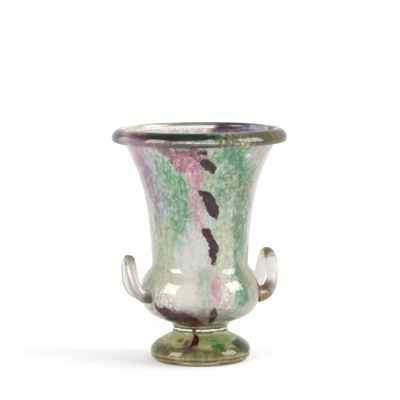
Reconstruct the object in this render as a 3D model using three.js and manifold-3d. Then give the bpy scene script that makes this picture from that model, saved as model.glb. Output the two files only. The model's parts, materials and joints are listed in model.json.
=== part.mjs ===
// Footed glass vase in the form of a wide mouthed mixing bowl. A blown bowl with a colour layer
// under a clear casing stands on a spreading foot. It has a rolled lip, and a looped handle on
// each side, low on the belly. Millimetres, +Z up, origin at the middle of the ring it stands on.
import * as THREE from "three";
import { mergeVertices } from "three/addons/utils/BufferGeometryUtils.js";
import Module from "manifold-3d";

const wasm = await Module();
wasm.setup();

// Bowl, outside sizes. Each pull is how far a curve runs on straight before it turns.
const neckRadius = 19.5;
const neckHeight = 22.3;
const neckPull = 8.8;
const bellyRadius = 42.5;
const bellyHeight = 47.8;
const bellyPullDown = 20.2;
const bellyPullUp = 15.8;
const waistRadius = 34.1;
const waistHeight = 70.2;
const waistPullDown = 8.4;
const waistPullUp = 60;
const waistLean = 3.2;
const lipRadius = 53.6;
const lipHeight = 156;
const lipFlare = 7.4;
const lipPullDown = 18.1;

// Layers of the bowl's wall, counted inwards, and what is left between two fused pieces.
const casingThickness = 2.1;
const colourThickness = 2.1;
const fusionGap = 0.3;
const casingFloor = 2.4;
const bowlFloor = 5;
const floorDish = 1.6;

// Rolled lip: an oval bead hung over the edge of the wall.
const beadHalfLength = 5.75;
const beadHalfThickness = 3.85;
const beadDroop = THREE.MathUtils.degToRad(48);
const beadReach = 5.2;
const beadOverhang = 1.9;

// Foot: a spreading dome over a ground ring, hollowed underneath.
const footRadius = 35.8;
const footEdgeHeight = 6;
const footEdgePull = 3.6;
const footDomePull = 9.9;
const footNeckPull = 6;
const ringOuterRadius = 32.5;
const ringInnerRadius = 27.5;
const ringSplay = 1;
const footCasingThickness = 2.8;
const footCasingTop = 2.4;
const footLedge = 2.6;
const footHollow = 6.4;

// Handles: one rod of glass each, bent to an arch with both ends set side by side on the belly.
// They were drawn out by hand, so each has its own sizes.
const rodRadius = 4.1;
const rootTaper = 3.5;
const rootDepth = 3;
const handleOffAxis = THREE.MathUtils.degToRad(3.5);
const rightLoop = {
  bearing: handleOffAxis,
  halfWidth: 11.8,
  squareness: 2.4,
  rootLift: -2.2,
  rootRadius: 6.4,
  reach: 13.5,
  sag: 1,
  standoff: 10.1,
  height: 27.6,
  topFall: 12,
};
const leftLoop = {
  bearing: Math.PI - handleOffAxis,
  halfWidth: 10.8,
  squareness: 2.2,
  rootLift: 0.2,
  rootRadius: 5,
  reach: 10.5,
  sag: 1.5,
  standoff: 9.6,
  height: 24.9,
  topFall: 14,
};

// Shards of dark glass laid on the colour layer before the casing went over it.
const shardThickness = 0.9;
const shardBlunt = 0.3;
const frontBearing = THREE.MathUtils.degToRad(-109.5);

// Fineness of the facets.
const roundSteps = 40;
const neckSteps = 6;
const bellySteps = 4;
const bellSteps = 5;
const rollSteps = 4;
const lipSteps = 3;
const beadSteps = 14;
const footSteps = 5;
const edgeSteps = 3;
const hollowSteps = 4;
const rodSides = 12;
const rodSteps = 30;
const shardSteps = 4;

const point = (r, z) => new THREE.Vector2(r, z);
const lastOf = (list) => list[list.length - 1];

// Outlines as curves of radius and height, from the bottom up.
const bowlOutline = [
  {
    steps: neckSteps,
    curve: new THREE.CubicBezierCurve(
      point(neckRadius, neckHeight),
      point(neckRadius, neckHeight + neckPull),
      point(bellyRadius, bellyHeight - bellyPullDown),
      point(bellyRadius, bellyHeight),
    ),
  },
  {
    steps: bellySteps,
    curve: new THREE.CubicBezierCurve(
      point(bellyRadius, bellyHeight),
      point(bellyRadius, bellyHeight + bellyPullUp),
      point(waistRadius, waistHeight - waistPullDown),
      point(waistRadius, waistHeight),
    ),
  },
  {
    steps: bellSteps,
    curve: new THREE.CubicBezierCurve(
      point(waistRadius, waistHeight),
      point(waistRadius + waistLean, waistHeight + waistPullUp),
      point(lipRadius - lipFlare, lipHeight - lipPullDown),
      point(lipRadius, lipHeight),
    ),
  },
];

const footOutline = [
  {
    steps: edgeSteps,
    curve: new THREE.QuadraticBezierCurve(
      point(ringOuterRadius, 0),
      point(footRadius, footEdgeHeight - footEdgePull),
      point(footRadius, footEdgeHeight),
    ),
  },
  {
    steps: footSteps,
    curve: new THREE.CubicBezierCurve(
      point(footRadius, footEdgeHeight),
      point(footRadius, footEdgeHeight + footDomePull),
      point(neckRadius, neckHeight - footNeckPull),
      point(neckRadius, neckHeight),
    ),
  },
];

// A face lying the given depth under an outline, as points from the bottom up.
function faceUnder(outline, depth) {
  const points = [];
  for (const { curve, steps } of outline) {
    for (let i = points.length > 0 ? 1 : 0; i <= steps; i += 1) {
      const along = curve.getTangent(i / steps);
      const inward = point(-along.y, along.x);
      points.push(curve.getPoint(i / steps).addScaledVector(inward, depth));
    }
  }
  return points;
}

// The part of a rising line of points above a height, cut off level.
function above(points, height) {
  const first = points.findIndex((p) => p.y > height + 0.01);
  if (first === 0) return points;
  const [under, over] = [points[first - 1], points[first]];
  const cut = under.clone().lerp(over, (height - under.y) / (over.y - under.y));
  return [cut, ...points.slice(first)];
}

// The part of a rising line of points below a height, cut off level.
function below(points, height) {
  const upsideDown = points.map((p) => point(p.x, -p.y)).reverse();
  return above(upsideDown, -height).map((p) => point(p.x, -p.y)).reverse();
}

// The lip's oval section, placed on from the top of the wall and along it.
const lipPoint = point(lipRadius, lipHeight);
const lipAlong = lastOf(bowlOutline).curve.getTangent(1);
const lipOutward = point(lipAlong.y, -lipAlong.x);
const beadCentre = lipPoint.clone();
beadCentre.addScaledVector(lipAlong, beadReach).addScaledVector(lipOutward, beadOverhang);
const beadLong = point(Math.cos(beadDroop), -Math.sin(beadDroop));
const beadShort = point(Math.sin(beadDroop), Math.cos(beadDroop));

function beadPoint(angle, grow) {
  const p = beadCentre.clone();
  p.addScaledVector(beadLong, (beadHalfLength + grow) * Math.cos(angle));
  return p.addScaledVector(beadShort, (beadHalfThickness + grow) * Math.sin(angle));
}

function beadAngle(p, grow) {
  const from = p.clone().sub(beadCentre);
  const across = from.dot(beadShort) / (beadHalfThickness + grow);
  return Math.atan2(across, from.dot(beadLong) / (beadHalfLength + grow));
}

function insideBead(p, grow) {
  const from = p.clone().sub(beadCentre);
  const along = from.dot(beadLong) / (beadHalfLength + grow);
  return Math.hypot(along, from.dot(beadShort) / (beadHalfThickness + grow)) < 1;
}

// A face of the wall, carried on over its top edge until it meets the lip.
function faceToLip(depth) {
  const points = faceUnder(bowlOutline, depth);
  const top = lastOf(points);
  const roll = new THREE.QuadraticBezierCurve(
    top,
    top.clone().addScaledVector(lipAlong, beadReach),
    beadCentre,
  );
  let [clear, met] = [0, 1];
  for (let i = 0; i < 40; i += 1) {
    const middle = (clear + met) / 2;
    if (insideBead(roll.getPoint(middle), fusionGap)) met = middle;
    else clear = middle;
  }
  for (let i = 1; i <= rollSteps; i += 1) points.push(roll.getPoint((clear * i) / rollSteps));
  return points;
}

// The end of a layer, following the underside of the lip from one face to the other.
function endUnderLip(outer, inner) {
  const from = beadAngle(lastOf(outer), fusionGap);
  let to = beadAngle(lastOf(inner), fusionGap);
  if (to > from) to -= 2 * Math.PI;
  const points = [];
  for (let i = 1; i < lipSteps; i += 1) {
    points.push(beadPoint(from + ((to - from) * i) / lipSteps, fusionGap));
  }
  return points;
}

// A closed solid from a geometry, with shared corners merged and empty triangles left out.
function solid(geometry) {
  const bare = geometry.clone();
  bare.deleteAttribute("normal");
  bare.deleteAttribute("uv");
  const merged = mergeVertices(bare, 1e-4);
  const triangles = [];
  for (let i = 0; i < merged.index.count; i += 3) {
    const corners = [0, 1, 2].map((k) => merged.index.getX(i + k));
    if (new Set(corners).size === 3) triangles.push(...corners);
  }
  return new wasm.Manifold(new wasm.Mesh({
    numProp: 3,
    vertProperties: new Float32Array(merged.attributes.position.array),
    triVerts: new Uint32Array(triangles),
  }));
}

// A turned solid. Its outline runs outwards along the bottom, up the outside and back in.
function turned(outline) {
  const geometry = new THREE.LatheGeometry(outline, roundSteps);
  return solid(geometry.rotateX(Math.PI / 2));
}

const closed = (outline) => [...outline, outline[0].clone()];

// Bowl: the clear casing, and the colour layer that lies inside it.
const casingInside = casingThickness;
const layerOutside = casingThickness + fusionGap;
const bowlInside = layerOutside + colourThickness;
const bowlBase = neckHeight + fusionGap / 2;
const layerBase = bowlBase + casingFloor + fusionGap;
const floorHeight = layerBase + bowlFloor;

const casingOuterFace = above(faceToLip(0), bowlBase);
const casingInnerFace = above(faceToLip(casingInside), bowlBase + casingFloor);
const casingEnd = endUnderLip(casingOuterFace, casingInnerFace);
const bowlCasing = turned([
  point(0, bowlBase),
  ...casingOuterFace,
  ...casingEnd,
  ...casingInnerFace.toReversed(),
  point(0, bowlBase + casingFloor),
]);

const layerOuterFace = above(faceToLip(layerOutside), layerBase);
const boreFace = above(faceToLip(bowlInside), floorHeight + floorDish);
const layerEnd = endUnderLip(layerOuterFace, boreFace);
const dish = new THREE.QuadraticBezierCurve(
  boreFace[0],
  point(boreFace[0].x - floorDish, floorHeight),
  point(0, floorHeight),
);
const plainLayer = turned([
  point(0, layerBase),
  ...layerOuterFace,
  ...layerEnd,
  ...boreFace.toReversed(),
  ...dish.getPoints(hollowSteps).slice(1),
]);

// Rolled lip.
const beadSection = [];
for (let i = 0; i < beadSteps; i += 1) beadSection.push(beadPoint((2 * Math.PI * i) / beadSteps, 0));
const rolledLip = turned(closed(beadSection));

// Foot: the clear outer glass with the ground ring, and the coloured core that it covers.
const footTop = neckHeight - fusionGap / 2;
const footInnerTop = footTop - footCasingTop;
const coreOutside = footCasingThickness + fusionGap;
const footOuterFace = below(faceUnder(footOutline, 0), footTop);
const footInnerFace = below(above(faceUnder(footOutline, footCasingThickness), footLedge), footInnerTop);
const footCasing = turned([
  point(0, footInnerTop),
  ...footInnerFace.toReversed(),
  point(ringInnerRadius - ringSplay, footLedge),
  point(ringInnerRadius, 0),
  ...footOuterFace,
  point(0, footTop),
]);

const coreBottom = footLedge + fusionGap;
const coreTop = footInnerTop - fusionGap;
const coreFace = below(above(faceUnder(footOutline, coreOutside), coreBottom), coreTop);
const hollow = new THREE.QuadraticBezierCurve(
  point(0, footHollow),
  point((ringInnerRadius - ringSplay) / 2, footHollow),
  point(ringInnerRadius - ringSplay, coreBottom),
);
const plainCore = turned([
  ...hollow.getPoints(hollowSteps),
  ...coreFace,
  point(0, coreTop),
]);

// A shard's broken outline: a bent strip, widest at its shoulder and narrow at both ends.
function shardOutline({ length, width, shoulder, bend }, grow) {
  const [right, left] = [[], []];
  for (let i = 0; i <= shardSteps; i += 1) {
    const s = i / shardSteps;
    const swell = s < shoulder ? s / shoulder : (1 - s) / (1 - shoulder);
    const half = (width / 2) * (shardBlunt + (1 - shardBlunt) * Math.sin((swell * Math.PI) / 2));
    const middle = bend * 4 * s * (1 - s);
    const along = (length / 2 + grow) * (1 - 2 * s);
    right.push(point(middle + half + grow, along));
    left.push(point(middle - half - grow, along));
  }
  return new THREE.Shape([...right, ...left.reverse()]);
}

// A straight block of the shard's outline, from the vase's axis out through the wall.
function shardBlock(shard, grow) {
  const outline = shardOutline(shard, grow);
  const reach = bellyRadius + lipRadius;
  const block = new THREE.ExtrudeGeometry(outline, { depth: reach, bevelEnabled: false });
  const bearing = frontBearing + THREE.MathUtils.degToRad(shard.bearing);
  const outward = new THREE.Vector3(Math.cos(bearing), Math.sin(bearing), 0);
  const sideways = new THREE.Vector3(-Math.sin(bearing), Math.cos(bearing), 0);
  block.rotateZ(THREE.MathUtils.degToRad(shard.lean));
  block.applyMatrix4(new THREE.Matrix4().makeBasis(sideways, new THREE.Vector3(0, 0, 1), outward));
  return solid(block.translate(0, 0, shard.from - shard.drop));
}

// A skin between two depths under an outline.
function skin(outline, outer, inner) {
  return turned(closed([...faceUnder(outline, outer), ...faceUnder(outline, inner).reverse()]));
}

// Bearings are in degrees round from the front, drop is from the height named to a shard's
// middle, and lean turns its top to the left.
const bowlShards = {
  shard_under_lip: {
    from: lipHeight, drop: 5.4, bearing: 1.5, lean: 80, length: 11, width: 3, shoulder: 0.5, bend: 0,
  },
  shard_upper: {
    from: lipHeight, drop: 14.5, bearing: 8, lean: 54, length: 15, width: 6.6, shoulder: 0.4, bend: -0.6,
  },
  shard_middle: {
    from: lipHeight, drop: 41.5, bearing: 10, lean: 24, length: 23, width: 7.6, shoulder: 0.5, bend: 1.4,
  },
  shard_long: {
    from: waistHeight, drop: -15.2, bearing: 12, lean: 13, length: 28, width: 7, shoulder: 0.3, bend: 1,
  },
  shard_belly: {
    from: bellyHeight, drop: 8.4, bearing: -25, lean: 80, length: 34, width: 5.4, shoulder: 0.4, bend: -1.4,
  },
  shard_low: {
    from: bellyHeight, drop: 10.2, bearing: 15, lean: 4, length: 9.6, width: 4.8, shoulder: 0.6, bend: 0.4,
  },
};
const footShards = {
  shard_stem: {
    from: neckHeight, drop: 5.1, bearing: -9, lean: 6, length: 6.4, width: 6.4, shoulder: 0.5, bend: 0,
  },
};

// Each shard is cut from the outer skin of its layer, and its seat is cut there with clearance.
function laidIn(outline, layer, depth, shards) {
  const shardSkin = layer.intersect(skin(outline, depth - fusionGap / 2, depth + shardThickness));
  const seatSkin = skin(outline, depth - fusionGap / 2, depth + shardThickness + fusionGap);
  const pieces = {};
  let seated = layer;
  for (const [name, shard] of Object.entries(shards)) {
    pieces[name] = shardSkin.intersect(shardBlock(shard, 0));
    seated = seated.subtract(seatSkin.intersect(shardBlock(shard, fusionGap)));
  }
  return { pieces, seated };
}

const bowlLaid = laidIn(bowlOutline, plainLayer, layerOutside, bowlShards);
const footLaid = laidIn(footOutline, plainCore, coreOutside, footShards);

// The room that the bowl takes, with clearance, cut from each handle to seat it.
const grownFace = faceUnder(bowlOutline, -fusionGap);
const bowlEnvelope = turned([point(0, grownFace[0].y), ...grownFace, point(0, lastOf(grownFace).y)]);

// The rod's centre line: a squared arch across the side of the vase, which comes out of the
// belly, hooks upwards and stands off from the wall.
class LoopPath extends THREE.Curve {
  constructor(loop) {
    super();
    this.loop = loop;
    const root = point(bellyRadius - rootDepth, bellyHeight + loop.rootLift);
    const top = point(bellyRadius + loop.standoff, root.y + loop.height);
    this.rise = new THREE.CubicBezierCurve(
      root,
      point(root.x + loop.reach, root.y - loop.sag),
      point(top.x, top.y - loop.topFall),
      top,
    );
  }

  getPoint(t, target = new THREE.Vector3()) {
    const power = 2 / this.loop.squareness;
    const [across, up] = [Math.cos(Math.PI * t), Math.max(Math.sin(Math.PI * t), 0)];
    const side = this.loop.halfWidth * Math.sign(across) * Math.abs(across) ** power;
    const { x, y } = this.rise.getPoint(Math.min(up ** power, 1));
    return target.set(x, side, y);
  }
}

// The rod is thickest at its two roots, where the soft glass was pressed on.
function loopHandle(loop) {
  const path = new LoopPath(loop);
  const section = new THREE.Shape().absarc(0, 0, rodRadius, 0, 2 * Math.PI);
  const settings = { steps: rodSteps, extrudePath: path, curveSegments: rodSides / 2 };
  const rod = new THREE.ExtrudeGeometry(section, { ...settings, bevelEnabled: false });
  const corners = rod.attributes.position;
  const centres = path.getSpacedPoints(rodSteps);
  const corner = new THREE.Vector3();
  for (let i = 0; i < corners.count; i += 1) {
    corner.fromBufferAttribute(corners, i);
    const gaps = centres.map((centre) => centre.distanceTo(corner));
    const nearest = gaps.indexOf(Math.min(...gaps));
    const fromCrown = Math.abs((2 * nearest) / rodSteps - 1);
    const radius = rodRadius + (loop.rootRadius - rodRadius) * fromCrown ** rootTaper;
    corner.sub(centres[nearest]).multiplyScalar(radius / rodRadius).add(centres[nearest]);
    corners.setXYZ(i, corner.x, corner.y, corner.z);
  }
  return solid(rod.rotateZ(loop.bearing)).subtract(bowlEnvelope);
}

const handleRight = loopHandle(rightLoop);
const handleLeft = loopHandle(leftLoop);

// Finishes.
const glass = (color, opacity) => {
  return new THREE.MeshStandardMaterial({
    color, roughness: 0.06, metalness: 0, transparent: opacity < 1, opacity,
  });
};
const clearGlass = glass(0xd8d4cc, 0.35);
const mottledGlass = glass(0xb9b4c4, 0.8);
const darkGlass = glass(0x3b1f35, 1);
const lipGlass = glass(0x4c5f43, 0.75);
const footClearGlass = glass(0xb0a184, 0.5);
const footCoreGlass = glass(0x5f6a35, 0.9);
const handleGlass = glass(0xa9a69c, 0.55);

function sheet(name, piece, material) {
  const { vertProperties, triVerts } = piece.getMesh();
  const geometry = new THREE.BufferGeometry();
  geometry.setAttribute("position", new THREE.BufferAttribute(new Float32Array(vertProperties), 3));
  geometry.setIndex(new THREE.BufferAttribute(new Uint32Array(triVerts), 1));
  geometry.computeVertexNormals();
  const mesh = new THREE.Mesh(geometry, material.clone());
  mesh.name = name;
  return mesh;
}

const vase = new THREE.Group();
vase.name = "footed_glass_vase";
vase.add(sheet("bowl_casing", bowlCasing, clearGlass));
vase.add(sheet("bowl_colour_layer", bowlLaid.seated, mottledGlass));
vase.add(sheet("rolled_lip", rolledLip, lipGlass));
vase.add(sheet("foot_casing", footCasing, footClearGlass));
vase.add(sheet("foot_colour_core", footLaid.seated, footCoreGlass));
vase.add(sheet("handle_right", handleRight, handleGlass));
vase.add(sheet("handle_left", handleLeft, handleGlass));
for (const [name, piece] of Object.entries({ ...bowlLaid.pieces, ...footLaid.pieces })) {
  vase.add(sheet(name, piece, darkGlass));
}

export default vase;
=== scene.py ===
"""Footed glass vase with a rolled lip and two looped handles, dressed in cased and crackled glass."""

import json
import math
from typing import NamedTuple

import bmesh
import bpy
from mathutils import Matrix, Vector, noise
from mathutils.geometry import interpolate_bezier

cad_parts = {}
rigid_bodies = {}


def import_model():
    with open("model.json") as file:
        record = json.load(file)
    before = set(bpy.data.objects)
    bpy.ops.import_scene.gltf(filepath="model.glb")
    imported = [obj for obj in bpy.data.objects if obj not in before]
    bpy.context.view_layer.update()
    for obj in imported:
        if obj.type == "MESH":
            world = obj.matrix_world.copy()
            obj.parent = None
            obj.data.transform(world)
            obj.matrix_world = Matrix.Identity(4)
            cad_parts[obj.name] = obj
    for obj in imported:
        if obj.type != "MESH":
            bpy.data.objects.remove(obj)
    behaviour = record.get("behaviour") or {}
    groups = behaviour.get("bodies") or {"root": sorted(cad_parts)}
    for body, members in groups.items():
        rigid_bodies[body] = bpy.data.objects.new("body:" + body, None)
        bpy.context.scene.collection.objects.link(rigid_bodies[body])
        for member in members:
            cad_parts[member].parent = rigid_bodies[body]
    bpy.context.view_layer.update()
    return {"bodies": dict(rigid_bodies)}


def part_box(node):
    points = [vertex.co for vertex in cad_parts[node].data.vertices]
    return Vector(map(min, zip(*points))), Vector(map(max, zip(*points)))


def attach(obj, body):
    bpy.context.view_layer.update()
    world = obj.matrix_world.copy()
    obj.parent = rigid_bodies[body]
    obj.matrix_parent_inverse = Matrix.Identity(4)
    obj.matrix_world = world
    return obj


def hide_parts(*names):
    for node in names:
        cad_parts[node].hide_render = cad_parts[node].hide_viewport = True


bl_info = {
    "name": "Footed Glass Vase",
    "version": (1, 0, 0),
    "blender": (4, 5, 0),
    "location": "View3D > Sidebar > Vase",
    "description": "Dresses a footed vase in cased and crackled glass",
    "category": "Add Mesh",
}

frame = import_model()

MM = 0.001
BODY = next(iter(frame["bodies"]))
LIP_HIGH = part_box("rolled_lip")[1]

# Fineness of the meshes. The rod is first walked in finer steps, so that its rings come out even.
ROUND_STEPS = 144
SPAN_STEPS = 22
OVAL_STEPS = 40
ROD_STEPS = 72
ROD_WALK = 20 * ROD_STEPS
ROD_SIDES = 32
FLOOR_STEPS = 8

# Points nearer than this become one, and a fold over this angle stays sharp.
MERGE = 0.002 * MM
CREASE = math.radians(50)

# A curve that rounds off a corner pulls this share of the way to it.
ROUNDING = 2 / 3

# The front, where the camera stands, as a plan angle. Bearings count from it, to the right.
FRONT = -109.5

# How glass bends light. Colour caught inside a wall bends it no further.
GLASS_IOR = 1.5
CASED_IOR = 1.0

# Sockets of the Mix node, which has its own for numbers and for colours.
FACTOR = 0
NUMBER_A, NUMBER_B = 2, 3
COLOUR_A, COLOUR_B, MIXED_COLOUR = 6, 7, 2


def linear(code):
    """The linear colour of an sRGB hex value."""
    parts = [int(code[i : i + 2], 16) / 255 for i in (1, 3, 5)]
    return [p / 12.92 if p <= 0.04045 else ((p + 0.055) / 1.055) ** 2.4 for p in parts] + [1.0]


def density(shade, darkest=0.002):
    """What a coloured glass takes out of the light in each channel. Densities add up, as powders do."""
    return [-math.log(max(part, darkest)) for part in shade[:3]] + [1.0]


def length(name, size, description):
    """A length that a user can change, given in millimetres."""
    return bpy.props.FloatProperty(
        name=name, description=description, default=size * MM, unit="LENGTH", precision=5
    )


def angle(name, degrees, description):
    """An angle that a user can change, given in degrees."""
    return bpy.props.FloatProperty(
        name=name, description=description, default=math.radians(degrees), subtype="ANGLE"
    )


def number(name, value, description):
    """A plain number that a user can change."""
    return bpy.props.FloatProperty(name=name, description=description, default=value)


def colour(name, code, description):
    """A colour that a user can change, given as an sRGB hex value."""
    return bpy.props.FloatVectorProperty(
        name=name, description=description, default=linear(code), size=4, min=0, max=1, subtype="COLOR"
    )


class BowlSizes(bpy.types.PropertyGroup):
    """Outside and wall of the blown bowl. A pull is how far a curve runs straight on before it turns."""

    neck_radius: length("Neck radius", 19.5, "Where the bowl stands on the foot")
    neck_height: length("Neck height", 22.3, "Height of that joint above the table")
    neck_pull: length("Neck pull", 8.8, "How far the neck runs straight up")
    belly_radius: length("Belly radius", 42.5, "Widest part of the belly")
    belly_height: length("Belly height", 47.8, "Height of the widest part")
    belly_pull_down: length("Belly pull down", 20.2, "Roundness under the belly")
    belly_pull_up: length("Belly pull up", 15.8, "Roundness over the belly")
    waist_radius: length("Waist radius", 34.1, "Narrowest part over the belly")
    waist_height: length("Waist height", 70.2, "Height of the waist")
    waist_pull_down: length("Waist pull down", 8.4, "How tight the waist turns below")
    waist_pull_up: length("Waist pull up", 60.0, "How far the bell runs straight up")
    waist_lean: length("Waist lean", 3.2, "How far the bell leans out on the way")
    lip_radius: length("Lip radius", 53.6, "Top edge of the wall")
    lip_height: length("Lip height", 156.0, "Height of the top edge")
    lip_flare: length("Lip flare", 7.4, "How far the edge flares out")
    lip_pull_down: length("Lip pull down", 18.1, "Height over which it flares")
    casing: length("Casing", 2.1, "Thickness of the clear outer glass")
    layer: length("Colour layer", 2.1, "Thickness of the coloured inner glass")
    seam: length("Seam", 0.3, "What is left between the two layers")
    casing_floor: length("Casing floor", 2.4, "Thickness of the clear glass over the neck")
    bowl_floor: length("Bowl floor", 5.0, "Thickness of the coloured floor")
    floor_dish: length("Floor dish", 1.6, "Rounding in the corner of the floor")


class LipSizes(bpy.types.PropertyGroup):
    """The oval bead rolled over the edge of the wall."""

    half_length: length("Half length", 5.75, "Half of the oval's long side")
    half_thickness: length("Half thickness", 3.85, "Half of the oval's short side")
    droop: angle("Droop", 48, "How far the oval hangs down outwards")
    reach: length("Reach", 5.2, "From the top of the wall to the oval's middle")
    coat: length("Coat", 0.85, "Clear glass over the streaks")


class FootSizes(bpy.types.PropertyGroup):
    """The spreading foot with its ground ring. It is hollow underneath."""

    radius: length("Radius", 35.8, "Widest part of the foot")
    edge_height: length("Edge height", 6.0, "Height of the widest part")
    edge_pull: length("Edge pull", 3.6, "Roundness of the lower edge")
    dome_pull: length("Dome pull", 9.9, "Roundness of the upper edge")
    neck_pull: length("Neck pull", 6.0, "How far the neck runs straight down")
    ring_outer: length("Ring outside", 32.5, "Outer radius of the ring it stands on")
    ring_inner: length("Ring inside", 27.5, "Inner radius of the ring it stands on")
    ring_splay: length("Ring splay", 1.0, "How far the ring's inner side leans in")
    casing: length("Casing", 2.8, "Thickness of the clear outer glass")
    casing_top: length("Casing top", 2.4, "Thickness of the clear glass under the bowl")
    ledge: length("Ledge", 2.6, "Height of the coloured glass above the table")
    hollow: length("Hollow", 6.4, "Depth of the hollow underneath")


class HandleSizes(bpy.types.PropertyGroup):
    """Two loops of drawn rod. They were bent by hand, so each has its own sizes."""

    rod: length("Rod", 4.1, "Radius of the rod")
    root_depth: length("Root depth", 3.0, "How far a root reaches into the belly before it is cut")
    root_taper: number("Root taper", 3.5, "How quickly the roots thin to the rod")
    off_axis: angle("Off axis", 3.5, "How far both loops stand from the middle line")
    right_half_width: length("Right half width", 11.8, "Half of the distance between its roots")
    right_squareness: number("Right squareness", 2.4, "2 is an even arch, and more is squarer")
    right_root_lift: length("Right root lift", -2.2, "Its roots above the widest part of the belly")
    right_root: length("Right root", 6.4, "Radius of its roots")
    right_reach: length("Right reach", 13.5, "How far it runs straight out")
    right_sag: length("Right sag", 1.0, "How far it dips on the way out")
    right_standoff: length("Right standoff", 10.1, "Its crown beyond the belly")
    right_height: length("Right height", 27.6, "Its crown above its roots")
    right_top_fall: length("Right top fall", 12.0, "How far its crown runs straight up")
    left_half_width: length("Left half width", 10.8, "Half of the distance between its roots")
    left_squareness: number("Left squareness", 2.2, "2 is an even arch, and more is squarer")
    left_root_lift: length("Left root lift", 0.2, "Its roots above the widest part of the belly")
    left_root: length("Left root", 5.0, "Radius of its roots")
    left_reach: length("Left reach", 10.5, "How far it runs straight out")
    left_sag: length("Left sag", 1.5, "How far it dips on the way out")
    left_standoff: length("Left standoff", 9.6, "Its crown beyond the belly")
    left_height: length("Left height", 24.9, "Its crown above its roots")
    left_top_fall: length("Left top fall", 14.0, "How far its crown runs straight up")


class GlassColours(bpy.types.PropertyGroup):
    """Colours of the clear glasses and of the powders picked up on them."""

    clear: colour("Clear", "#F6F4F1", "Clear glass of the casing and the lip")
    smoky: colour("Smoky", "#E2DDD8", "Clear glass of the handles")
    straw: colour("Straw", "#ECE4C8", "Clear glass of the foot")
    frost: colour("Frost", "#F2EFEA", "The wall where no powder lies")
    # Painted shade: the darker line along fine cracks where no powder lies.
    crack_shade: colour("Crackle", "#949080", "Fine cracks where no powder lies")
    green: colour("Green", "#3A8A4E", "Main green powder")
    deep_green: colour("Deep green", "#106826", "Thick green powder")
    grey_green: colour("Grey green", "#6A9874", "Green powder over lavender")
    pale_green: colour("Pale green", "#B8CE90", "Thin yellowish green powder")
    rose: colour("Rose", "#C6567E", "Main pink powder")
    pink: colour("Pink", "#DE94A8", "Thin pink powder")
    plum: colour("Plum", "#481C22", "Thick pink powder")
    lavender: colour("Lavender", "#A4B8CC", "Bluish powder")
    violet: colour("Violet", "#5E4072", "Thick bluish powder")
    olive: colour("Olive", "#76763A", "Olive powder")
    amber: colour("Amber", "#B87E26", "Amber stain")
    umber: colour("Umber", "#3E2A1A", "Brown stain")
    sage: colour("Sage", "#F4F0C6", "Cloudy yellowish green of the foot")
    sand: colour("Sand", "#D6C4A0", "Ground ring that the foot stands on")
    bottle: colour("Bottle", "#0A1C08", "Dark green of the lip and the foot")
    aubergine: colour("Aubergine", "#2A1019", "Dark shards")
    russet: colour("Russet", "#842C2A", "Reddish edges of the dark shards")


class StageSizes(bpy.types.PropertyGroup):
    """Camera, lights and table top."""

    distance: length("Distance", 1349, "From the camera to the vase")
    target: length("Target", 81.65, "Height that the camera looks at")
    elevation: angle("Elevation", 7.68, "How far the camera looks down")
    roll: angle("Roll", -0.3, "How far the camera is tilted")
    lens: number("Lens", 171, "Focal length in millimetres")
    film: number("Film", 36, "Width of the film in millimetres")
    shift: number("Shift", 0.112, "How far the lens is raised, as a share of the film's width")
    lamp: number("Lamp", 0.9, "Strength of the lamp behind the vase")
    lamp_size: angle("Lamp size", 60, "How wide the lamp looks from the vase, which softens its shadow")
    softbox: number("Softbox", 7, "Brightness of the two softboxes")
    floor: length("Floor", 120000, "Side of the table top")
    drop: length("Drop", 0.05, "Gap between the foot and the table top")
    white: colour("White", "#DCDCDC", "Frosted white table top")


SETTINGS = {
    "vase_bowl": BowlSizes,
    "vase_lip": LipSizes,
    "vase_foot": FootSizes,
    "vase_handles": HandleSizes,
    "vase_colours": GlassColours,
    "vase_stage": StageSizes,
}


class Patch(NamedTuple):
    """A cloud of powder: its colour, the bearing of its middle in degrees and its height in mm, half its
    width and length in mm, how far it leans in degrees, and how thick it lies, from 0 to 1."""

    colour: str
    bearing: float
    height: float
    half_width: float
    half_length: float
    lean: float
    strength: float


def laid(*rows):
    """Patches, from a row of values for each."""
    return tuple(Patch(*row) for row in rows)


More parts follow.
